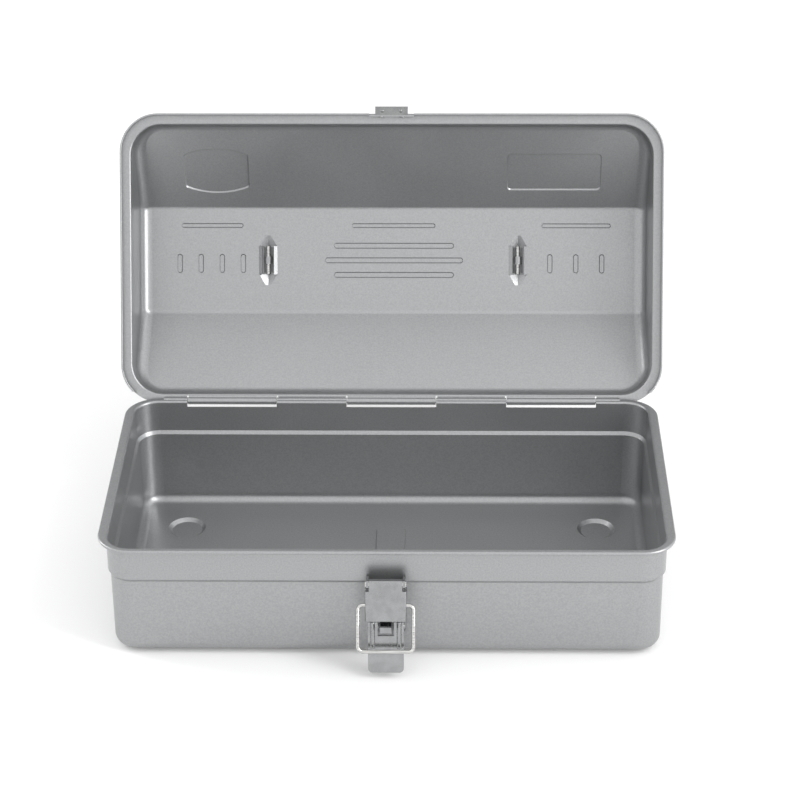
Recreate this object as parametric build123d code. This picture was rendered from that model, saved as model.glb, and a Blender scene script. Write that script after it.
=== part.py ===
from build123d import *
import math
import os

# Pressed-steel tool box with a hip lid, shown with its lid standing open and its latch hanging.
# Frame: origin on the ground under the middle of the body, +X to the right, +Y to the hinge, +Z up, mm.
# Lid pieces are designed shut and then swung open about the hinge pin.

# Body: a drawn tub that widens at a step and ends in a hemmed flange
BODY_SHEET = 0.9
LOWER_HALF_X = 135.8
LOWER_HALF_Y = 71.6
LOWER_CORNER = 11.5
BASE_RADIUS = 5.9
STEP_Z = 43.6
STEP_OUT = 1.2
STEP_RISE = 1.8
RIM_HALF_X = 141.2
RIM_HALF_Y = 75.5
RIM_CORNER = 17.0
RIM_Z = 63.5
RIM_HEM = 1.8
FOOT_X = 109.5
FOOT_Y = 42.7
FOOT_TOP_RADIUS = 10.7
FOOT_FLAT_RADIUS = 8.3
FOOT_DROP = 1.5
PAD_WIDTH = 16.0
PAD_LENGTH = 87.0
PAD_RISE = 0.7

# Hinge: three lid tongues rolled round one long pin that the body's rear flange holds
PIN_Y = 75.0
PIN_Z = 62.2
PIN_RADIUS = 1.0
PIN_LENGTH = 243.0
KNUCKLE_RADIUS = 1.9
KNUCKLE_BORE = 1.1
SLOT_PITCH = 85.3
SLOT_WIDTH = 47.9
SLOT_FLOOR_Z = 59.8
KNUCKLE_WIDTH = 47.3
ROLL_END_X = 122.0
OPEN_ANGLE = 114.8

# Lid, in its shut position
LID_SHEET = 0.8
LID_HALF_X = 139.2
LID_FRONT_Y = -72.4
LID_REAR_Y = 71.6
LID_CORNER = 16.5
LID_DRAFT = 1.6
LID_TOP_Z = 101.0
BREAK_FRONT_Y = -27.8
BREAK_REAR_Y = 29.1
LID_SLOPE = 33.3
BREAK_RADIUS = 4.0
CROWN_EDGE_RADIUS = 6.0
FLANGE_Z = 64.4
FLANGE_BEND = 1.1
LID_RIM_HALF_X = 144.6
LID_RIM_FRONT_Y = -78.2
LID_RIM_REAR_Y = 76.2
LID_RIM_CORNER = 20.5
SKIRT_LOW_Z = 60.2
SKIRT_SHEET = 1.0
SKIRT_END_Y = 70.0
STOP_LIP_Y = 78.0
STOP_LIP_Z = 61.45
CATCH_DIP = 0.9
CATCH_DIP_WIDTH = 24.0

# Lid pressings
PANEL_DEPTH = 0.7
BEAD_DEPTH = 0.6
PRESS_DRAFT = 40
LEFT_PANEL = (-95.4, 2.5, 35.0, 28.4)
RIGHT_PANEL = (87.5, 3.2, 51.0, 23.2)

# Handle housings and handle, in the shut position
HOUSING_X = 68.5
POCKET_HALF_X = 3.25
POCKET_HALF_Y = 7.8
POCKET_DEPTH = 4.2
POCKET_SHEET = 0.9
LIP_HEIGHT = 1.3
LIP_REACH = 2.1
VALLEY_NEAR = (7.6, 5.3, 2.6)
VALLEY_FAR = (13.6, 2.0, 0.5)
NECK_HOLE_X = 5.6
NECK_HOLE_Y = 14.0
HANDLE_TRAVEL = 12.0
HANDLE_CLEARANCE = 1.6
HANDLE_SHEET = 1.0
HANDLE_WIDTH = 22.0
HANDLE_HALF_LENGTH = 74.0
HANDLE_END_CORNER = 9.0
HANDLE_ARCH = 2.2
EDGE_HALF_LENGTH = 53.0
EDGE_DEPTH = 3.6
NECK_WIDTH = 4.2
HANDLE_PIN_RADIUS = 1.2
HANDLE_PIN_LENGTH = 15.3
HANDLE_PIN_GAP = 0.1

# Catch on the lid's front rim, in the shut position
CATCH_WIDTH = 17.3
CATCH_SHEET = 0.8
CATCH_GAP = 2.9
CATCH_BOTTOM_Z = 60.4
CATCH_TOP_Z = 64.2
CATCH_LIP = 1.9
CATCH_RIVET_X = 5.6
CATCH_RIVET_Z = 62.9
CATCH_RIVET_RADIUS = 1.0
CATCH_PIP_X = 4.9
CATCH_PIP_RADIUS = 1.1

# Latch, with its lever hanging straight down before it is leaned out
LATCH_PIN_Y = -79.3
LATCH_PIN_Z = 47.6
LATCH_PIN_RADIUS = 1.4
LATCH_PIN_LENGTH = 19.2
LATCH_LEAN = 15.0
BASE_SHEET = 1.2
BASE_WIDTH = 20.6
BASE_LOW_Z = 13.0
BASE_HIGH_Z = 43.4
EAR_INNER_X = 8.3
EAR_RADIUS = 2.5
TONGUE_Z = 25.2
TONGUE_WIDTH = 5.6
TONGUE_REACH = 18.2
TONGUE_TIP = 4.1
RIVET_RADIUS = 1.6
RIVET_HEAD_RADIUS = 2.8
RIVET_HEAD = 1.0
RIVET_X = 6.6
RIVET_Z = (17.5, 34.0)
LEVER_SHEET = 1.1
LEVER_BORE = 1.5
NECK_HALF = 8.1
PLATE_HALF = 10.05
PLATE_TOP = 2.9
PLATE_BOTTOM = 18.2
PLATE_FLANGE = 4.6
TAB_HALF = 8.75
TAB_SETBACK = 2.3
TAB_END = 45.4
WINDOW_HALF = 4.0
WINDOW_TOP = 19.4
WINDOW_BOTTOM = 26.4
RIDGE_X = 6.5
RIDGE_RADIUS = 1.2
RIDGE_LENGTH = 12.0
RIDGE_MIDDLE = 26.0
BAIL_PIVOT = 10.5
BAIL_PIVOT_BACK = 0.3
BAIL_WIRE = 0.95
BAIL_LENGTH = 22.3
BAIL_HALF = 13.55
BAIL_BEND = 2.6
BAIL_BORE = 1.05
BAIL_END_X = 8.0


def rounded_block(half_x, half_y, corner, low, high, centre_y=0.0, taper=0.0):
    outline = Pos(0, centre_y, low) * RectangleRounded(2 * half_x, 2 * half_y, corner)
    return extrude(outline, high - low, taper=taper)


def bar_along_x(radius, length, x, y, z):
    return Pos(x, y, z) * Rot(0, 90, 0) * Cylinder(radius, length)


def side_profile(points, width, x=0.0):
    """A flat outline in the Y-Z plane, given width along X."""
    face = Plane.YZ * Polygon(*points, align=None)
    return Pos(x, 0, 0) * extrude(face, width / 2, both=True)


def span_box(x_low, x_high, y_low, y_high, z_low, z_high):
    centre = Pos((x_low + x_high) / 2, (y_low + y_high) / 2, (z_low + z_high) / 2)
    return centre * Box(x_high - x_low, y_high - y_low, z_high - z_low)


def swing_open(piece):
    """Lid pieces are designed shut; this stands them at the open stop."""
    return piece.rotate(Axis((0, PIN_Y, PIN_Z), (1, 0, 0)), -OPEN_ANGLE)


def lean_out(piece):
    """Latch pieces are designed hanging plumb; this leans them out from the body."""
    return piece.rotate(Axis((0, LATCH_PIN_Y, LATCH_PIN_Z), (1, 0, 0)), -LATCH_LEAN)


# ---------------------------------------------------------------- body


def tub(inset, top):
    """The tub's outer form, or its inner form when inset is the sheet's thickness."""
    half_x = LOWER_HALF_X - inset
    half_y = LOWER_HALF_Y - inset
    corner = LOWER_CORNER - inset
    floor_z = FOOT_DROP + inset
    step_z = STEP_Z + 0.35 * inset
    draft = math.degrees(math.atan(STEP_OUT / STEP_RISE))
    lower = rounded_block(half_x, half_y, corner, floor_z, step_z)
    lower = fillet(lower.edges().group_by(Axis.Z)[0], BASE_RADIUS - inset)
    step = rounded_block(half_x, half_y, corner, step_z, step_z + STEP_RISE, taper=-draft)
    upper = rounded_block(
        half_x + STEP_OUT, half_y + STEP_OUT, corner + STEP_OUT, step_z + STEP_RISE, top
    )
    return lower + step + upper


def body_slots():
    """Three openings in the rear flange that the lid's tongues work in."""
    cuts = []
    for place in (-1, 0, 1):
        middle = place * SLOT_PITCH
        cuts.append(
            span_box(
                middle - SLOT_WIDTH / 2,
                middle + SLOT_WIDTH / 2,
                LOWER_HALF_Y - BODY_SHEET - 1.0,
                RIM_HALF_Y + 4.0,
                SLOT_FLOOR_Z,
                RIM_Z + 4.0,
            )
        )
    return cuts


def body_rolls():
    """The four stretches of rear flange that are rolled round the hinge pin."""
    edges = [-ROLL_END_X]
    for place in (-1, 0, 1):
        edges.append(place * SLOT_PITCH - SLOT_WIDTH / 2)
        edges.append(place * SLOT_PITCH + SLOT_WIDTH / 2)
    edges.append(ROLL_END_X)
    rolls = []
    for low, high in zip(edges[0::2], edges[1::2]):
        rolls.append(bar_along_x(KNUCKLE_RADIUS, high - low, (low + high) / 2, PIN_Y, PIN_Z))
    return rolls


def pressed_feet(top_radius, flat_radius, low, high):
    feet = []
    for x in (-FOOT_X, FOOT_X):
        for y in (-FOOT_Y, FOOT_Y):
            cone = Cone(flat_radius, top_radius, high - low)
            feet.append(Pos(x, y, (low + high) / 2) * cone)
    return feet


def floor_pad(width, length, low, high, corner):
    outline = Pos(0, 0, low) * RectangleRounded(width, length, corner)
    return extrude(outline, high - low, taper=PRESS_DRAFT)


def body_shell():
    flange = rounded_block(RIM_HALF_X, RIM_HALF_Y, RIM_CORNER, RIM_Z - RIM_HEM, RIM_Z)
    flange = fillet(flange.edges().filter_by(Plane.XY), 0.8)
    shell = tub(0.0, RIM_Z) + flange
    shell = shell + pressed_feet(FOOT_TOP_RADIUS, FOOT_FLAT_RADIUS, 0.0, FOOT_DROP + 0.2)
    shell = shell - tub(BODY_SHEET, RIM_Z + 1.0)
    shell = shell - pressed_feet(
        FOOT_TOP_RADIUS - 0.4, FOOT_FLAT_RADIUS - 0.4, BODY_SHEET, FOOT_DROP + BODY_SHEET + 0.2
    )
    floor_z = FOOT_DROP + BODY_SHEET
    shell = shell + floor_pad(PAD_WIDTH, PAD_LENGTH, floor_z - 0.1, floor_z + PAD_RISE, 4.0)
    shell = shell - floor_pad(
        PAD_WIDTH - 1.4, PAD_LENGTH - 1.4, FOOT_DROP - 0.1, FOOT_DROP + PAD_RISE, 3.3
    )
    mouth = shell.edges().filter_by(lambda e: abs(e.center().Z - RIM_Z) < 0.01)
    inner_mouth = [e for e in mouth if inside_mouth(e)]
    shell = fillet(inner_mouth, 1.2)
    shell = shell - body_slots()
    shell = shell + body_rolls()
    shell = shell - rivet_shanks(RIVET_RADIUS)
    return shell - bar_along_x(PIN_RADIUS, 2 * ROLL_END_X + 2, 0, PIN_Y, PIN_Z)


def inside_mouth(edge):
    box = edge.bounding_box()
    reach_x = max(abs(box.min.X), abs(box.max.X))
    reach_y = max(abs(box.min.Y), abs(box.max.Y))
    limit_x = LOWER_HALF_X + STEP_OUT - BODY_SHEET + 0.1
    limit_y = LOWER_HALF_Y + STEP_OUT - BODY_SHEET + 0.1
    return reach_x < limit_x and reach_y < limit_y


def hinge_pin():
    return bar_along_x(PIN_RADIUS, PIN_LENGTH, 0, PIN_Y, PIN_Z)


# ---------------------------------------------------------------- lid


def crown(grow):
    """The lid's drawn crown: its inner form, or its outer form when grow is the sheet."""
    slope = math.radians(LID_SLOPE)
    top = LID_TOP_Z + grow
    low = FLANGE_Z if grow else SKIRT_LOW_Z - 1.0
    spread = grow * math.tan(slope / 2)
    front = BREAK_FRONT_Y - spread
    rear = BREAK_REAR_Y + spread
    drop = (LID_REAR_Y - BREAK_REAR_Y + 4.0) * math.tan(slope)
    reach = drop / math.tan(slope)
    points = [(front - reach, low), (front - reach, top - drop), (front, top)]
    points += [(rear, top), (rear + reach, top - drop), (rear + reach, low)]
    outline = Polygon(*points, align=None)
    breaks = outline.vertices().filter_by(lambda v: abs(v.Y - top) < 0.01)
    outline = fillet(breaks, BREAK_RADIUS + grow)
    hips = extrude(Plane.YZ * outline, LID_HALF_X + 5, both=True)
    half_y = (LID_REAR_Y - LID_FRONT_Y) / 2 + grow
    middle = (LID_REAR_Y + LID_FRONT_Y) / 2
    corner = LID_CORNER + grow
    walls = rounded_block(LID_HALF_X + grow, half_y, corner, low, top + 4, middle, LID_DRAFT)
    form = hips & walls
    return fillet(crown_edges(form, low), CROWN_EDGE_RADIUS + grow)


def crown_edges(form, low):
    """The ring of edges where the crown's facets meet its walls."""
    chosen = []
    for edge in form.edges():
        box = edge.bounding_box()
        upright = box.size.Z > 0.9 * edge.length
        facet_break = abs(edge.center().X) < 1 and abs(edge.center().Y) < LID_REAR_Y - 6
        if edge.center().Z > low + 4 and not upright and not facet_break:
            chosen.append(edge)
    return chosen


def lid_rim():
    """Flat flange and turned-down skirt round the lid's front and sides."""
    half_y = (LID_RIM_REAR_Y - LID_RIM_FRONT_Y) / 2
    middle = (LID_RIM_REAR_Y + LID_RIM_FRONT_Y) / 2
    top = FLANGE_Z + LID_SHEET

    def ring(inset, low, high):
        corner = LID_RIM_CORNER - inset
        return rounded_block(LID_RIM_HALF_X - inset, half_y - inset, corner, low, high, middle)

    plate = ring(0.0, SKIRT_LOW_Z, top)
    plate = fillet(plate.edges().group_by(Axis.Z)[-1], 1.2)
    rim = plate - ring(SKIRT_SHEET, SKIRT_LOW_Z - 1, FLANGE_Z)
    rim = fillet(rim.edges().group_by(Axis.Z)[0], 0.35)
    rim = rim - span_box(-160, 160, SKIRT_END_Y, 90, SKIRT_LOW_Z - 1, FLANGE_Z)
    half_dip = CATCH_DIP_WIDTH / 2
    dip_back = LID_RIM_FRONT_Y + CATCH_DIP
    dip = span_box(
        -half_dip,
        half_dip,
        LID_RIM_FRONT_Y - 1,
        dip_back + LID_SHEET,
        SKIRT_LOW_Z - 1,
        FLANGE_Z,
    )
    backing = span_box(
        -half_dip,
        half_dip,
        dip_back,
        dip_back + LID_SHEET,
        SKIRT_LOW_Z + 0.6,
        top - 0.3,
    )
    return rim - dip + backing


def drawn_lid():
    """The crown and its rim as one drawn sheet, with small bends where wall meets flange."""
    sheet = crown(LID_SHEET) + lid_rim()
    sheet = fillet(bend_edges(sheet, FLANGE_Z + LID_SHEET, LID_SHEET + 0.3), 1.0)
    sheet = sheet - crown(0.0)
    return fillet(bend_edges(sheet, FLANGE_Z, 0.3), FLANGE_BEND)


def bend_edges(sheet, z, beyond):
    """Edges at one height that follow the crown's wall, found by how far out they lie."""
    chosen = []
    for edge in sheet.edges():
        box = edge.bounding_box()
        level = abs(box.min.Z - z) < 0.01 and abs(box.max.Z - z) < 0.01
        inside_x = max(abs(box.min.X), abs(box.max.X)) < LID_HALF_X + beyond
        inside_y = box.min.Y > LID_FRONT_Y - beyond and box.max.Y < LID_REAR_Y + beyond
        if level and inside_x and inside_y:
            chosen.append(edge)
    return chosen


def lid_tongues():
    """Three tongues that dip from the rear flange and roll round the hinge pin."""
    top = FLANGE_Z + LID_SHEET
    roll_top = PIN_Z + KNUCKLE_RADIUS
    start = LID_REAR_Y
    points = [(start, top), (start + 1.4, top), (PIN_Y, roll_top), (PIN_Y, roll_top - LID_SHEET)]
    points += [(start + 1.0, FLANGE_Z), (start, FLANGE_Z)]
    tongues = []
    for place in (-1, 0, 1):
        x = place * SLOT_PITCH
        strip = side_profile(points, KNUCKLE_WIDTH, x)
        roll = bar_along_x(KNUCKLE_RADIUS, KNUCKLE_WIDTH, x, PIN_Y, PIN_Z)
        tongues.append(strip + roll)
    return tongues


def tongue_gaps():
    """The rear flange is cut away behind each tongue."""
    gaps = []
    for place in (-1, 0, 1):
        x = place * SLOT_PITCH
        half = SLOT_WIDTH / 2 + 0.6
        start = LID_REAR_Y + LID_SHEET
        gaps.append(span_box(x - half, x + half, start, 90, FLANGE_Z - 1, FLANGE_Z + 3))
    return gaps


def stop_lips():
    """Turned-down lips between the tongues, which meet the body's wall when the lid is open."""
    edges = [-ROLL_END_X]
    for place in (-1, 0, 1):
        edges.append(place * SLOT_PITCH - SLOT_WIDTH / 2 - 0.6)
        edges.append(place * SLOT_PITCH + SLOT_WIDTH / 2 + 0.6)
    edges.append(ROLL_END_X)
    top = FLANGE_Z + LID_SHEET
    inner = STOP_LIP_Y - LID_SHEET + 0.05
    points = [(LID_RIM_REAR_Y - 2, top), (STOP_LIP_Y - 0.6, top), (STOP_LIP_Y, top - 0.6)]
    points += [(STOP_LIP_Y, PIN_Z + 0.2), (STOP_LIP_Y - 0.3, STOP_LIP_Z)]
    points += [(inner - 0.15, STOP_LIP_Z), (inner, PIN_Z)]
    points += [(inner, FLANGE_Z), (LID_RIM_REAR_Y - 2, FLANGE_Z)]
    lips = []
    for low, high in zip(edges[0::2], edges[1::2]):
        lips.append(side_profile(points, high - low, (low + high) / 2))
    return lips


def lid_middle_y():
    return (BREAK_FRONT_Y + BREAK_REAR_Y) / 2


def front_slope_plane():
    """Lies on the inside of the front slope, with its Y axis up the slope."""
    slope = math.radians(LID_SLOPE)
    middle_y = (LID_FRONT_Y + BREAK_FRONT_Y) / 2
    middle_z = LID_TOP_Z - (BREAK_FRONT_Y - middle_y) * math.tan(slope)
    normal = (0, -math.sin(slope), math.cos(slope))
    return Plane(origin=(0, middle_y, middle_z), x_dir=(1, 0, 0), z_dir=normal)


def top_plane():
    return Plane(origin=(0, lid_middle_y(), LID_TOP_Z), x_dir=(1, 0, 0), z_dir=(0, 0, 1))


def barrel_outline(width, height):
    """A panel with straight sides and bowed long edges."""
    bulge = 0.14 * height
    half = height / 2 - bulge
    upper = ThreePointArc((width / 2, half), (0, height / 2), (-width / 2, half))
    lower = ThreePointArc((-width / 2, -half), (0, -height / 2), (width / 2, -half))
    left = Line((-width / 2, half), (-width / 2, -half))
    right = Line((width / 2, -half), (width / 2, half))
    return fillet(make_face(upper + left + lower + right).vertices(), 2.0)


def outward_press(plane, outline, depth):
    """A raised pad for the outside of the sheet and the matching hollow inside it."""
    thick = offset(outline, 0.55)
    pad = extrude(plane * thick, depth + LID_SHEET, taper=PRESS_DRAFT)
    hollow = extrude(plane * outline, depth, taper=PRESS_DRAFT)
    mouth = extrude(plane * outline, -0.4)
    return pad, hollow + mouth


def lid_pressings():
    """Two panels on the front slope and plain bead patterns on the top facet."""
    slope = front_slope_plane()
    left_x, left_up, left_width, left_height = LEFT_PANEL
    right_x, right_up, right_width, right_height = RIGHT_PANEL
    barrel = Pos(left_x, left_up) * barrel_outline(left_width, left_height)
    plain = Pos(right_x, right_up) * RectangleRounded(right_width, right_height, 2.5)
    presses = [outward_press(slope, barrel, PANEL_DEPTH), outward_press(slope, plain, PANEL_DEPTH)]
    for x, y, length, width, turn in bead_places():
        bead = Pos(x, y) * Rot(0, 0, turn) * SlotOverall(length, width)
        presses.append(outward_press(top_plane(), bead, BEAD_DEPTH))
    return presses


def bead_places():
    """Middle X, middle Y, length, width and turn of each stiffening bead on the top facet."""
    beads = []
    for step in range(3):
        beads.append((0.5, -8.0 + 8.0 * step, 76.0 - 10.0 * abs(step - 1), 3.2, 0))
    for step in range(4):
        beads.append((-117.0 + 11.6 * step, 1.8, 10.5, 3.0, 90))
    for step in range(3):
        beads.append((86.0 + 14.2 * step, 1.8, 10.5, 3.0, 90))
    for x, length in ((-99.0, 34.0), (100.3, 38.0), (0.3, 46.0)):
        beads.append((x, -19.0, length, 2.6, 0))
    return beads


def housing_valley(x, end, grow, low):
    """A housing's V-shaped end: its hollow, or its outside when grow is the sheet."""
    sections = []
    for y, half, depth in (VALLEY_NEAR, VALLEY_FAR):
        place = (x, lid_middle_y() + end * (y + grow), LID_TOP_Z)
        side = Plane(origin=place, x_dir=(1, 0, 0), z_dir=(0, -1, 0))
        outline = Polygon((-half - grow, low), (half + grow, low), (0, depth + grow), align=None)
        sections.append(side * outline)
    return loft(sections, ruled=True)


def housing_boss(x):
    """The outside of a handle housing: a raised block with sloping tails."""
    outline = RectangleRounded(
        2 * (POCKET_HALF_X + POCKET_SHEET), 2 * (POCKET_HALF_Y + POCKET_SHEET), 1.2
    )
    block = extrude(outline, POCKET_DEPTH + POCKET_SHEET - 0.1, taper=3)
    boss = Pos(x, lid_middle_y(), LID_TOP_Z + 0.1) * block
    for end in (-1, 1):
        boss = boss + housing_valley(x, end, POCKET_SHEET, 0.1)
    return boss


def housing_lips(x):
    """The long edges of a housing's mouth are turned in towards the inside of the lid."""
    crest = POCKET_HALF_X
    foot = POCKET_HALF_X + LIP_REACH
    lips = []
    for side in (-1, 1):
        outline = Polygon(
            (side * crest, 0.2), (side * crest, -LIP_HEIGHT), (side * foot, 0.2), align=None
        )
        strip = extrude(Plane.XZ * outline, POCKET_HALF_Y, both=True)
        lips.append(Pos(x, lid_middle_y(), LID_TOP_Z) * strip)
    return lips


def housing_hollow(x):
    """The pocket that the handle's pin works in, its outlet for the neck, and the two valleys."""
    pocket = span_box(
        x - POCKET_HALF_X,
        x + POCKET_HALF_X,
        lid_middle_y() - POCKET_HALF_Y,
        lid_middle_y() + POCKET_HALF_Y,
        LID_TOP_Z - 2 * LIP_HEIGHT,
        LID_TOP_Z + POCKET_DEPTH,
    )
    outlet = Box(NECK_HOLE_X, NECK_HOLE_Y, 4 * POCKET_SHEET)
    hollow = pocket + Pos(x, lid_middle_y(), LID_TOP_Z + POCKET_DEPTH) * outlet
    for end in (-1, 1):
        hollow = hollow + housing_valley(x, end, 0.0, -0.2)
    return hollow


def lid_shell():
    shell = drawn_lid() - tongue_gaps() + lid_tongues() + stop_lips()
    for x in (-HOUSING_X, HOUSING_X):
        shell = shell + housing_boss(x) + housing_lips(x) - housing_hollow(x)
    for pad, hollow in lid_pressings():
        shell = shell + pad - hollow
    shell = shell - bar_along_x(KNUCKLE_BORE, 2 * ROLL_END_X + 2, 0, PIN_Y, PIN_Z)
    return swing_open(shell - catch_rivet_bars(4.0))


def catch_rivet_bars(reach):
    bars = []
    y = LID_RIM_FRONT_Y + CATCH_DIP
    z = CATCH_RIVET_Z
    for x in (-CATCH_RIVET_X, CATCH_RIVET_X):
        bars.append(Pos(x, y, z) * Rot(90, 0, 0) * Cylinder(CATCH_RIVET_RADIUS, 2 * reach))
    return bars


def lid_catch():
    """A strip riveted to the front rim, its lower edge turned out and up into a hook."""
    back = LID_RIM_FRONT_Y + CATCH_DIP
    hook_in = back - CATCH_SHEET
    hook_out = hook_in - CATCH_GAP
    half = CATCH_WIDTH / 2
    shelf_top = CATCH_BOTTOM_Z + CATCH_SHEET
    plate = span_box(-half, half, hook_in, back, CATCH_BOTTOM_Z, CATCH_TOP_Z)
    shelf = span_box(-half, half, hook_out, hook_in, CATCH_BOTTOM_Z, shelf_top)
    lip_back = hook_out - CATCH_SHEET
    lip = span_box(-half, half, lip_back, hook_out, CATCH_BOTTOM_Z, shelf_top + CATCH_LIP)
    catch = plate + shelf + lip
    lengthwise = catch.edges().filter_by(Axis.X)
    low = lengthwise.filter_by(lambda e: abs(e.center().Z - CATCH_BOTTOM_Z) < 0.01)
    catch = fillet(low.sort_by(Axis.Y)[0], 0.7)
    for x in (-CATCH_PIP_X, CATCH_PIP_X):
        pip = Pos(x, (hook_in + hook_out) / 2, CATCH_BOTTOM_Z + 0.5) * Sphere(CATCH_PIP_RADIUS)
        catch = catch + (pip - span_box(-20, 20, -100, 0, CATCH_BOTTOM_Z + 0.5, 80))
    return swing_open(catch - catch_rivet_bars(4.0))


def lid_catch_rivets():
    back = LID_RIM_FRONT_Y + CATCH_DIP
    z = CATCH_RIVET_Z
    rivets = []
    for x in (-CATCH_RIVET_X, CATCH_RIVET_X):
        low = back - CATCH_SHEET - 0.5
        high = back + LID_SHEET + 0.4
        middle = Pos(x, (low + high) / 2, z) * Rot(90, 0, 0)
        shank = middle * Cylinder(CATCH_RIVET_RADIUS, high - low)
        front = Pos(x, low + 0.25, z) * Rot(90, 0, 0) * Cylinder(1.5 * CATCH_RIVET_RADIUS, 0.5)
        tail = Pos(x, high - 0.2, z) * Rot(90, 0, 0) * Cylinder(1.4 * CATCH_RIVET_RADIUS, 0.4)
        rivets.append(swing_open(shank + front + tail))
    return Compound(children=rivets)


# ---------------------------------------------------------------- handle


def handle_pin_z():
    """The pins hang against the underside of the housings when the handle is fully out."""
    return LID_TOP_Z + POCKET_DEPTH - HANDLE_PIN_RADIUS - HANDLE_PIN_GAP


def handle_grip():
    """An arched strap whose ends fold under into narrow necks that curl round the pins."""
    boss_top = LID_TOP_Z + POCKET_DEPTH + POCKET_SHEET
    strap_low = boss_top + HANDLE_CLEARANCE + HANDLE_TRAVEL
    end_z = strap_low + HANDLE_SHEET / 2
    far = HANDLE_HALF_LENGTH + 1
    arch = ThreePointArc((-far, end_z), (0, end_z + HANDLE_ARCH), (far, end_z))
    strap = extrude(Plane.XZ * trace(arch, HANDLE_SHEET), HANDLE_WIDTH / 2, both=True)
    plan = RectangleRounded(2 * HANDLE_HALF_LENGTH, HANDLE_WIDTH, HANDLE_END_CORNER)
    strap = strap & (Pos(0, 0, strap_low - 5) * extrude(plan, 20))
    edges = extrude(Plane.XZ * grip_edge(end_z), HANDLE_WIDTH / 2, both=True)
    half_inner = HANDLE_WIDTH / 2 - 1.2
    grip = strap + (edges - span_box(-80, 80, -half_inner, half_inner, 0, 200))
    for side in (-1, 1):
        grip = grip + folded_neck(side, strap_low)
        curl = Pos(side * HOUSING_X, 0, handle_pin_z()) * Rot(90, 0, 0)
        grip = grip + curl * Cylinder(HANDLE_PIN_RADIUS + HANDLE_SHEET, NECK_WIDTH)
        grip = grip - curl * Cylinder(HANDLE_PIN_RADIUS, NECK_WIDTH + 2)
    return swing_open(Pos(0, lid_middle_y(), 0) * grip)


def folded_neck(side, strap_low):
    """The strip folded back under the strap's end and turned down outside the pin."""
    inner_x = HOUSING_X + HANDLE_PIN_RADIUS
    outer_x = HANDLE_HALF_LENGTH - HANDLE_SHEET
    half = NECK_WIDTH / 2
    low = strap_low - 0.95 * HANDLE_SHEET
    leaf = span_box(inner_x, outer_x, -half, half, low, strap_low + 0.3)
    neck_top = strap_low + 0.1
    neck = span_box(inner_x, inner_x + HANDLE_SHEET, -half, half, handle_pin_z(), neck_top)
    fold = Pos(outer_x, 0, strap_low) * Rot(90, 0, 0) * Cylinder(0.95 * HANDLE_SHEET, NECK_WIDTH)
    folded = leaf + neck + fold
    return folded if side > 0 else mirror(folded, about=Plane.YZ)


def grip_edge(end_z):
    """Side view of the turned-down edge, which follows the strap's arch."""
    full = EDGE_HALF_LENGTH
    inner = full - 3.0
    top_z = end_z + 0.6
    low_z = end_z - EDGE_DEPTH + 0.8
    crown_z = end_z + HANDLE_ARCH
    top = ThreePointArc((-full, top_z), (0, crown_z), (full, top_z))
    down = Line((full, top_z), (inner, low_z))
    low = ThreePointArc((inner, low_z), (0, crown_z - EDGE_DEPTH), (-inner, low_z))
    back = Line((-inner, low_z), (-full, top_z))
    return make_face(top + down + low + back)


def handle_pin(side):
    pin = Pos(side * HOUSING_X, lid_middle_y(), handle_pin_z()) * Rot(90, 0, 0)
    return swing_open(pin * Cylinder(HANDLE_PIN_RADIUS, HANDLE_PIN_LENGTH))


# ---------------------------------------------------------------- latch


def latch_base_plate():
    """A plate riveted to the body, with two ears for the lever's pin and a hooked tongue."""
    back = -LOWER_HALF_Y
    front = back - BASE_SHEET
    half = BASE_WIDTH / 2
    plate = span_box(-half, half, front, back, BASE_LOW_Z, BASE_HIGH_Z)
    plate = fillet(plate.edges().filter_by(Axis.Y), 2.0)
    ear_points = [(front + 0.1, BASE_HIGH_Z), (front + 0.1, BASE_HIGH_Z - 6.0)]
    ear_points.append((LATCH_PIN_Y + 0.6, LATCH_PIN_Z - EAR_RADIUS))
    ear_points.append((LATCH_PIN_Y, LATCH_PIN_Z + EAR_RADIUS))
    ear_points += [(front - 0.6, LATCH_PIN_Z + 1.2), (front - 0.6, BASE_HIGH_Z)]
    for side in (-1, 1):
        x = side * (EAR_INNER_X + BASE_SHEET / 2)
        plate = plate + side_profile(ear_points, BASE_SHEET, x)
        plate = plate + bar_along_x(EAR_RADIUS, BASE_SHEET, x, LATCH_PIN_Y, LATCH_PIN_Z)
    window = span_box(
        -TONGUE_WIDTH / 2 - 0.4,
        TONGUE_WIDTH / 2 + 0.4,
        front - 1,
        back + 1,
        TONGUE_Z - 3.4,
        TONGUE_Z,
    )
    tongue = span_box(
        -TONGUE_WIDTH / 2,
        TONGUE_WIDTH / 2,
        back - TONGUE_REACH,
        back,
        TONGUE_Z,
        TONGUE_Z + BASE_SHEET,
    )
    tongue = tongue + span_box(
        -TONGUE_WIDTH / 2,
        TONGUE_WIDTH / 2,
        back - TONGUE_REACH,
        back - TONGUE_REACH + BASE_SHEET,
        TONGUE_Z,
        TONGUE_Z + TONGUE_TIP,
    )
    tongue = fillet(tongue.edges().filter_by(Axis.X).group_by(Axis.Y)[0].sort_by(Axis.Z)[:1], 1.0)
    plate = plate - window + tongue
    plate = plate - bar_along_x(LATCH_PIN_RADIUS, 40, 0, LATCH_PIN_Y, LATCH_PIN_Z)
    return plate - rivet_shanks(RIVET_RADIUS)


def rivet_shanks(radius):
    shanks = []
    for x in (-RIVET_X, RIVET_X):
        for z in RIVET_Z:
            shanks.append(Pos(x, -LOWER_HALF_Y, z) * Rot(90, 0, 0) * Cylinder(radius, 12))
    return shanks


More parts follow.
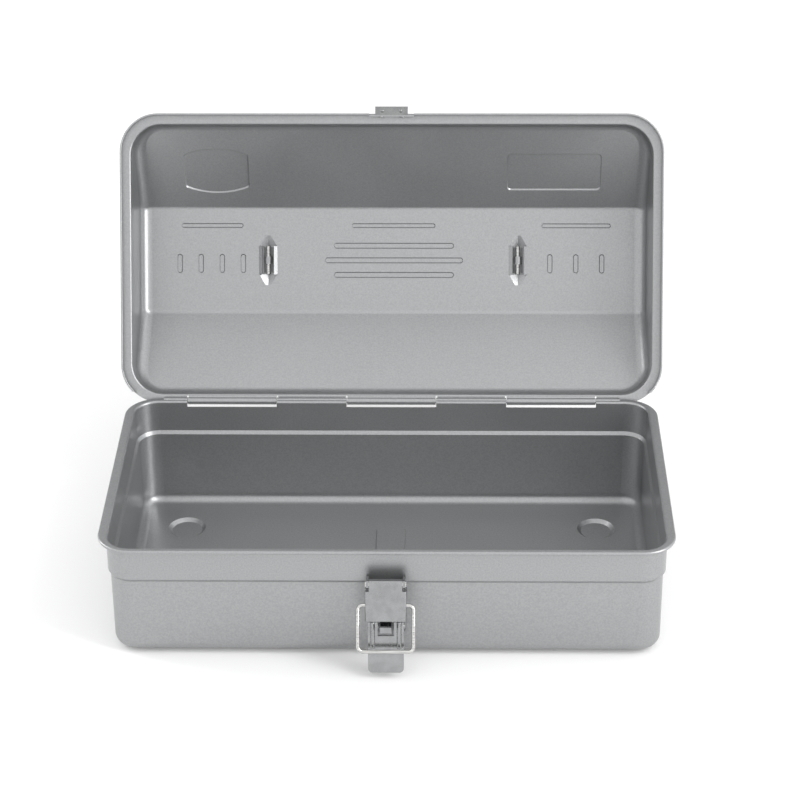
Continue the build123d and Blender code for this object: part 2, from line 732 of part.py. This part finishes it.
def latch_rivets():
    rivets = []
    low = -LOWER_HALF_Y - BASE_SHEET
    high = -LOWER_HALF_Y + BODY_SHEET
    for x in (-RIVET_X, RIVET_X):
        for z in RIVET_Z:
            shank = Pos(x, (low + high) / 2, z) * Rot(90, 0, 0) * Cylinder(RIVET_RADIUS, high - low)
            front = Pos(x, low - RIVET_HEAD / 2, z) * Rot(90, 0, 0)
            front = front * Cone(RIVET_HEAD_RADIUS, 0.7 * RIVET_HEAD_RADIUS, RIVET_HEAD)
            tail = Pos(x, high + 0.4, z) * Rot(90, 0, 0) * Cylinder(0.85 * RIVET_HEAD_RADIUS, 0.8)
            rivets.append(shank + front + tail)
    return Compound(children=rivets)


def latch_pin():
    shank = bar_along_x(LATCH_PIN_RADIUS, LATCH_PIN_LENGTH, 0, LATCH_PIN_Y, LATCH_PIN_Z)
    head_x = EAR_INNER_X + BASE_SHEET + 0.3
    head = bar_along_x(LATCH_PIN_RADIUS + 0.5, 0.5, head_x, LATCH_PIN_Y, LATCH_PIN_Z)
    tail = bar_along_x(LATCH_PIN_RADIUS + 0.5, 0.5, -head_x, LATCH_PIN_Y, LATCH_PIN_Z)
    return shank + head + tail


def lever_band(points, width):
    """A strip of the lever from side-view points given as (outward, down) from its pin."""
    placed = [(LATCH_PIN_Y - out, LATCH_PIN_Z - down) for out, down in points]
    return side_profile(placed, width)


def latch_lever():
    """One pressing: a neck curled round the pin, a flanged plate and a set-back finger tab."""
    face = LEVER_BORE + LEVER_SHEET
    curl = bar_along_x(face, 2 * NECK_HALF, 0, LATCH_PIN_Y, LATCH_PIN_Z)
    neck_end = PLATE_TOP + 1
    neck_points = [(LEVER_BORE, 0), (face, 0), (face, neck_end), (LEVER_BORE, neck_end)]
    neck = lever_band(neck_points, 2 * NECK_HALF)
    window = span_box(
        -WINDOW_HALF,
        WINDOW_HALF,
        LATCH_PIN_Y - 10,
        LATCH_PIN_Y + 10,
        LATCH_PIN_Z - WINDOW_BOTTOM,
        LATCH_PIN_Z - WINDOW_TOP,
    )
    lever = curl + neck + lever_plate() + lever_tab() - window + lever_ridges()
    lever = lever - bar_along_x(LEVER_BORE, 40, 0, LATCH_PIN_Y, LATCH_PIN_Z)
    lever = lever - bar_along_x(BAIL_BORE, 40, 0, bail_pivot_y(), LATCH_PIN_Z - BAIL_PIVOT)
    return lean_out(lever)


def lever_plate():
    """The broad plate and the side skirts folded back from it, which carry the bail."""
    face = LEVER_BORE + LEVER_SHEET
    back = face - PLATE_FLANGE
    points = [(LEVER_BORE, PLATE_TOP), (face, PLATE_TOP)]
    points += [(face, PLATE_BOTTOM), (LEVER_BORE, PLATE_BOTTOM)]
    plate = lever_band(points, 2 * PLATE_HALF)
    skirt_points = [(face - 0.2, PLATE_TOP), (face - 0.2, PLATE_BOTTOM)]
    skirt_points += [(LEVER_BORE - 0.4, PLATE_BOTTOM), (back, PLATE_BOTTOM - 3.5)]
    skirt_points += [(back, PLATE_TOP + 3.0), (LEVER_BORE - 0.6, PLATE_TOP)]
    skirts = lever_band(skirt_points, 2 * PLATE_HALF)
    plate = plate + (skirts - lever_band(skirt_points, 2 * (PLATE_HALF - LEVER_SHEET)))
    upright = plate.edges().filter_by(Axis.Z)
    folds = upright.filter_by(lambda e: e.center().Y < LATCH_PIN_Y - face + 0.1)
    return fillet(folds, 0.8)


def tab_face():
    """How far in front of the pin the finger tab's outer face lies."""
    return LEVER_BORE + LEVER_SHEET - TAB_SETBACK


def lever_tab():
    """The joggle behind the plate and the finger tab below it, with rounded corners."""
    face = LEVER_BORE + LEVER_SHEET
    back = tab_face() - LEVER_SHEET
    joggle = [(LEVER_BORE, PLATE_BOTTOM - 1.2), (face, PLATE_BOTTOM - 0.2), (face, PLATE_BOTTOM)]
    joggle += [(tab_face(), PLATE_BOTTOM + 1.3), (back, PLATE_BOTTOM + 1.3)]
    joggle.append((back, PLATE_BOTTOM + 0.3))
    blade_points = [(back, PLATE_BOTTOM + 1), (tab_face(), PLATE_BOTTOM + 1)]
    blade_points += [(tab_face(), TAB_END), (back, TAB_END)]
    blade = lever_band(blade_points, 2 * TAB_HALF)
    blade = fillet(blade.edges().filter_by(Axis.Y).sort_by(Axis.Z)[:2], 2.4)
    return lever_band(joggle, 2 * TAB_HALF) + blade


def lever_ridges():
    """Two round-ended stiffening ribs standing out from the tab, one each side of its window."""
    ridges = []
    y = LATCH_PIN_Y - tab_face() + 0.2
    for side in (-1, 1):
        rib = Cylinder(RIDGE_RADIUS, RIDGE_LENGTH)
        for end in (-1, 1):
            rib = rib + Pos(0, 0, end * RIDGE_LENGTH / 2) * Sphere(RIDGE_RADIUS)
        ridges.append(Pos(side * RIDGE_X, y, LATCH_PIN_Z - RIDGE_MIDDLE) * rib)
    return ridges


def bail_pivot_y():
    return LATCH_PIN_Y - BAIL_PIVOT_BACK


def latch_bail():
    """A wire loop whose turned-in ends work in the lever's side skirts."""
    z = LATCH_PIN_Z - BAIL_PIVOT
    y = bail_pivot_y()
    end = z - BAIL_LENGTH
    half = BAIL_HALF
    front = y - 4.6
    knee_y = front + 1.0
    knee_z = z - 9.0
    corners = [(BAIL_END_X, y, z), (half, y, z), (half, knee_y, knee_z), (half, front, end)]
    corners += [(-half, front, end), (-half, knee_y, knee_z), (-half, y, z), (-BAIL_END_X, y, z)]
    path = FilletPolyline(*corners, radius=BAIL_BEND)
    section = Plane(origin=path @ 0, z_dir=path % 0) * Circle(BAIL_WIRE)
    return lean_out(sweep(section, path=path))


# ---------------------------------------------------------------- output


def pieces():
    return {
        "body_shell": body_shell(),
        "hinge_pin": hinge_pin(),
        "lid_shell": lid_shell(),
        "lid_catch": lid_catch(),
        "lid_catch_rivets": lid_catch_rivets(),
        "handle_grip": handle_grip(),
        "handle_pin_left": handle_pin(-1),
        "handle_pin_right": handle_pin(1),
        "latch_base_plate": latch_base_plate(),
        "latch_rivets": latch_rivets(),
        "latch_lever_pin": latch_pin(),
        "latch_lever": latch_lever(),
        "latch_bail": latch_bail(),
    }


os.makedirs("parts", exist_ok=True)
for name, piece in pieces().items():
    export_step(piece, f"parts/{name}.step")
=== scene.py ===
import math

import bpy
from mathutils import Matrix, Vector

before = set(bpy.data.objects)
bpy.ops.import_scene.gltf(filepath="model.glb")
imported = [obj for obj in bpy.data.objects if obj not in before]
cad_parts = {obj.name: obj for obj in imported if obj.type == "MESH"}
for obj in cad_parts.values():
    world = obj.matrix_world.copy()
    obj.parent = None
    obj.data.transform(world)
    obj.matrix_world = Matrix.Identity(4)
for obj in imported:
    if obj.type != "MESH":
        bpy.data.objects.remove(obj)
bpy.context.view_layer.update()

# ---------------------------------------------------------------- the body
# The body is a tub drawn from 0.9 mm mild steel, stepped near its mouth and finished with a hemmed
# flange. It was sprayed with silver metallic enamel inside and out after pressing, then stoved.


def linear(hex_colour):
    """Turns an sRGB hex colour into the linear values that a shader wants."""
    channels = [int(hex_colour[i : i + 2], 16) / 255 for i in (1, 3, 5)]
    return [c / 12.92 if c <= 0.04045 else ((c + 0.055) / 1.055) ** 2.4 for c in channels] + [1.0]


def add_node(tree, kind, settings=None, links=None):
    """Adds a node, sets its properties and socket values, and links outputs into its sockets."""
    node = tree.nodes.new(kind)
    for name, value in (settings or {}).items():
        if hasattr(node, name):
            setattr(node, name, value)
        else:
            node.inputs[name].default_value = value
    for name, source in (links or {}).items():
        tree.links.new(source, node.inputs[name])
    return node


def new_finish(name):
    """A material with an empty node tree."""
    finish = bpy.data.materials.new(name)
    finish.use_nodes = True
    finish.node_tree.nodes.clear()
    return finish, finish.node_tree


def two_tones(tree, pattern, dark, light):
    """Spreads a pattern between two colours of the same finish."""
    ramp = add_node(tree, "ShaderNodeValToRGB", links={"Fac": pattern})
    ramp.color_ramp.elements[0].position = 0.35
    ramp.color_ramp.elements[0].color = linear(dark)
    ramp.color_ramp.elements[1].position = 0.65
    ramp.color_ramp.elements[1].color = linear(light)
    return ramp.outputs["Color"]


def silver_enamel(name, dark, light):
    """Sprayed and stoved metallic enamel: aluminium flake in a clear film over steel.

    The flake gives a fine sparkle that brightens towards the light, and the film lies in a faint
    orange peel, so reflections are soft with slightly wavy edges.
    """
    finish, tree = new_finish(name)
    place = add_node(tree, "ShaderNodeTexCoord").outputs["Object"]
    # real flake is about 0.03 mm; it is drawn as clusters 0.8 mm across so that it shows
    flake_size = 0.0008
    flake = add_node(
        tree, "ShaderNodeTexNoise", {"Scale": 1 / flake_size, "Detail": 3.0}, {"Vector": place}
    )
    colour = two_tones(tree, flake.outputs["Fac"], dark, light)
    # the spray lands unevenly, in soft clouds about 50 mm across, so the gloss drifts a little
    cloud_size = 0.05
    cloud = add_node(tree, "ShaderNodeTexNoise", {"Scale": 1 / cloud_size}, {"Vector": place})
    gloss = add_node(
        tree,
        "ShaderNodeMapRange",
        {"From Min": 0.3, "From Max": 0.7, "To Min": 0.33, "To Max": 0.4},
        {"Value": cloud.outputs["Fac"]},
    )
    # the orange peel's bumps are about 2 mm across
    peel_size = 0.0022
    peel = add_node(
        tree, "ShaderNodeTexNoise", {"Scale": 1 / peel_size, "Detail": 1.0}, {"Vector": place}
    )
    film = add_node(
        tree,
        "ShaderNodeBump",
        {"Strength": 0.2, "Distance": 0.00012},
        {"Height": peel.outputs["Fac"]},
    )
    shader = add_node(
        tree,
        "ShaderNodeBsdfPrincipled",
        {"Metallic": 0.85, "Coat Weight": 0.12, "Coat Roughness": 0.12},
        {"Base Color": colour, "Roughness": gloss.outputs["Result"], "Normal": film.outputs["Normal"]},
    )
    add_node(tree, "ShaderNodeOutputMaterial", links={"Surface": shader.outputs["BSDF"]})
    return finish


def dress(node_names, finish):
    """Gives one finish to pieces that came with the frame."""
    for node_name in node_names:
        piece = bpy.data.objects[node_name]
        piece.data.materials.clear()
        piece.data.materials.append(finish)


body_enamel = silver_enamel("silver_stoved_enamel", "#979899", "#A1A2A3")
dress(["body_shell"], body_enamel)

# ---------------------------------------------------------------- the hinge pin
# One 2 mm drawn steel wire runs the whole length of the hinge, through the rolls of the body's
# flange and the lid's tongues. It is bright steel, oiled, with its draw lines lying along it.


def drawn_wire(name, dark, light, gloss):
    """Bright plated wire: mirror-like, with faint draw lines that stretch each reflection."""
    finish, tree = new_finish(name)
    place = add_node(tree, "ShaderNodeTexCoord").outputs["Object"]
    # draw lines are a few hundredths apart; they are drawn 0.3 mm apart and 8 mm long
    line_gap = 0.0003
    line_length = 0.008
    stretched = add_node(
        tree,
        "ShaderNodeMapping",
        {"Scale": (1 / line_length, 1 / line_gap, 1 / line_gap)},
        {"Vector": place},
    )
    lines = add_node(
        tree,
        "ShaderNodeTexNoise",
        {"Scale": 1.0, "Detail": 2.0},
        {"Vector": stretched.outputs["Vector"]},
    )
    colour = two_tones(tree, lines.outputs["Fac"], dark, light)
    grooves = add_node(
        tree,
        "ShaderNodeBump",
        {"Strength": 0.12, "Distance": 0.00002},
        {"Height": lines.outputs["Fac"]},
    )
    shader = add_node(
        tree,
        "ShaderNodeBsdfPrincipled",
        {"Metallic": 1.0, "Roughness": gloss},
        {"Base Color": colour, "Normal": grooves.outputs["Normal"]},
    )
    add_node(tree, "ShaderNodeOutputMaterial", links={"Surface": shader.outputs["BSDF"]})
    return finish


pin_steel = drawn_wire("bright_drawn_steel", "#A8A8A6", "#CDCDCB", 0.16)
dress(["hinge_pin"], pin_steel)

# ---------------------------------------------------------------- the lid
# The lid is drawn from 0.8 mm sheet with sloping facets, pressed panels and stiffening beads, and
# has the same silver enamel as the body. Its tongues are rolled round the hinge pin.

dress(["lid_shell"], body_enamel)

# ---------------------------------------------------------------- the catch on the lid's rim
# A folded strip of zinc-plated steel, riveted through the front rim, that the bail hooks over.
# The plating is dull and greyer than the enamel, with rolling marks across the strip.


def zinc_plate(name, dark, light, gloss):
    """Zinc-plated pressed steel: satin grey with fine rolling lines and cloudy passivation."""
    finish, tree = new_finish(name)
    place = add_node(tree, "ShaderNodeTexCoord").outputs["Object"]
    # rolling lines are 0.2 mm apart and run along the strip for some 10 mm
    line_gap = 0.0002
    line_length = 0.01
    stretched = add_node(
        tree,
        "ShaderNodeMapping",
        {"Scale": (1 / line_gap, 1 / line_gap, 1 / line_length)},
        {"Vector": place},
    )
    lines = add_node(
        tree,
        "ShaderNodeTexNoise",
        {"Scale": 1.0, "Detail": 2.0},
        {"Vector": stretched.outputs["Vector"]},
    )
    cloud_size = 0.004
    cloud = add_node(
        tree, "ShaderNodeTexNoise", {"Scale": 1 / cloud_size, "Detail": 3.0}, {"Vector": place}
    )
    colour = two_tones(tree, cloud.outputs["Fac"], dark, light)
    sheen = add_node(
        tree,
        "ShaderNodeMapRange",
        {"From Min": 0.3, "From Max": 0.7, "To Min": gloss, "To Max": gloss + 0.1},
        {"Value": lines.outputs["Fac"]},
    )
    grain = add_node(
        tree,
        "ShaderNodeBump",
        {"Strength": 0.15, "Distance": 0.00003},
        {"Height": lines.outputs["Fac"]},
    )
    shader = add_node(
        tree,
        "ShaderNodeBsdfPrincipled",
        {"Metallic": 1.0},
        {"Base Color": colour, "Roughness": sheen.outputs["Result"], "Normal": grain.outputs["Normal"]},
    )
    add_node(tree, "ShaderNodeOutputMaterial", links={"Surface": shader.outputs["BSDF"]})
    return finish


catch_zinc = zinc_plate("dull_zinc_plated_strip", "#7E7F80", "#8A8B8B", 0.26)
dress(["lid_catch", "lid_catch_rivets"], catch_zinc)

# ---------------------------------------------------------------- the handle
# A pressed strap with turned-down edges, enamelled like the box. Its ends fold under and pass
# through the lid's two housings, where each curls round a loose bright pin.

dress(["handle_grip"], body_enamel)
dress(["handle_pin_left", "handle_pin_right"], pin_steel)

# ---------------------------------------------------------------- the latch
# A zinc-plated base plate riveted to the body holds the lever on a headed pin. The lever is one
# pressing with a curled neck, a flanged plate and a finger tab. The bail is nickel-plated wire.

latch_zinc = zinc_plate("bright_zinc_plated_pressing", "#919293", "#9B9C9D", 0.2)
dress(["latch_base_plate", "latch_rivets", "latch_lever"], latch_zinc)
dress(["latch_lever_pin"], pin_steel)
bail_wire = drawn_wire("nickel_plated_wire", "#A9A9A7", "#D2D2D0", 0.14)
dress(["latch_bail"], bail_wire)

# ---------------------------------------------------------------- the studio
# The box stands on a white sweep in an even white tent that is darker behind it, so that flat
# rims stay grey. A tall soft strip on the right and a weaker one at the left rear pick out edges.

SWEEP_HALF = 4.0
floor_mesh = bpy.data.meshes.new("white_sweep")
corners = [(-SWEEP_HALF, -SWEEP_HALF, 0), (SWEEP_HALF, -SWEEP_HALF, 0)]
corners += [(SWEEP_HALF, SWEEP_HALF, 0), (-SWEEP_HALF, SWEEP_HALF, 0)]
floor_mesh.from_pydata(corners, [], [(0, 1, 2, 3)])
floor = bpy.data.objects.new("white_sweep", floor_mesh)
bpy.context.collection.objects.link(floor)
sweep_paper, tree = new_finish("matt_white_paper")
shader = add_node(
    tree,
    "ShaderNodeBsdfPrincipled",
    {
        "Roughness": 0.95,
        "Base Color": linear("#DCDCDC"),
        "Emission Color": linear("#FFFFFF"),
        "Emission Strength": 0.1,
    },
)
add_node(tree, "ShaderNodeOutputMaterial", links={"Surface": shader.outputs["BSDF"]})
floor_mesh.materials.append(sweep_paper)

FRONT_STRENGTH = 1.32
REAR_STRENGTH = 0.45
world = bpy.data.worlds.new("white_tent")
bpy.context.scene.world = world
world.use_nodes = True
tent = world.node_tree
direction = add_node(tent, "ShaderNodeTexCoord").outputs["Generated"]
parts = add_node(tent, "ShaderNodeSeparateXYZ", links={"Vector": direction})
strength = add_node(
    tent,
    "ShaderNodeMapRange",
    {"From Min": 0.55, "From Max": 0.85, "To Min": FRONT_STRENGTH, "To Max": REAR_STRENGTH},
    {"Value": parts.outputs["Y"]},
)
tent.nodes["Background"].inputs["Color"].default_value = (1, 1, 1, 1)
tent.links.new(strength.outputs["Result"], tent.nodes["Background"].inputs["Strength"])
bpy.context.scene.view_settings.view_transform = "Standard"

BOX_MIDDLE = Vector((0, 0, 0.1))


def soft_light(name, place, width, height, power):
    """A rectangular studio light, in metres and watts, that faces the box."""
    data = bpy.data.lights.new(name, "AREA")
    data.shape = "RECTANGLE"
    data.size = width
    data.size_y = height
    data.energy = power
    lamp = bpy.data.objects.new(name, data)
    bpy.context.collection.objects.link(lamp)
    lamp.location = place
    lamp.rotation_euler = (BOX_MIDDLE - Vector(place)).to_track_quat("-Z", "Y").to_euler()


soft_light("right_strip", (1.15, -0.62, 0.8), width=0.4, height=1.6, power=16.0)
soft_light("left_strip", (-1.2, 0.35, 0.7), width=0.3, height=1.2, power=6.0)

# ---------------------------------------------------------------- the camera
# It stands in front of the latch, looking down into the open box with a long lens.

PITCH = math.radians(29.455)
YAW = math.radians(-1.124)
ROLL = math.radians(-0.428)
LENS_MM = 111.31
SENSOR_MM = 36
forward = Vector(
    (math.sin(YAW) * math.cos(PITCH), math.cos(YAW) * math.cos(PITCH), -math.sin(PITCH))
)
right = Vector((math.cos(YAW), -math.sin(YAW), 0))
up = right.cross(forward)
turned_right = math.cos(ROLL) * right + math.sin(ROLL) * up
turned_up = -math.sin(ROLL) * right + math.cos(ROLL) * up
eye = Vector((0, 0, 0.06)) + turned_right * 0.00577 + turned_up * 0.03944 - forward * 1.26044
camera_data = bpy.data.cameras.new("camera")
camera_data.sensor_width = SENSOR_MM
camera_data.lens = LENS_MM
camera = bpy.data.objects.new("camera", camera_data)
bpy.context.collection.objects.link(camera)
facing = Matrix((turned_right, turned_up, -forward)).transposed()
camera.matrix_world = Matrix.Translation(eye) @ facing.to_4x4()
bpy.context.scene.camera = camera
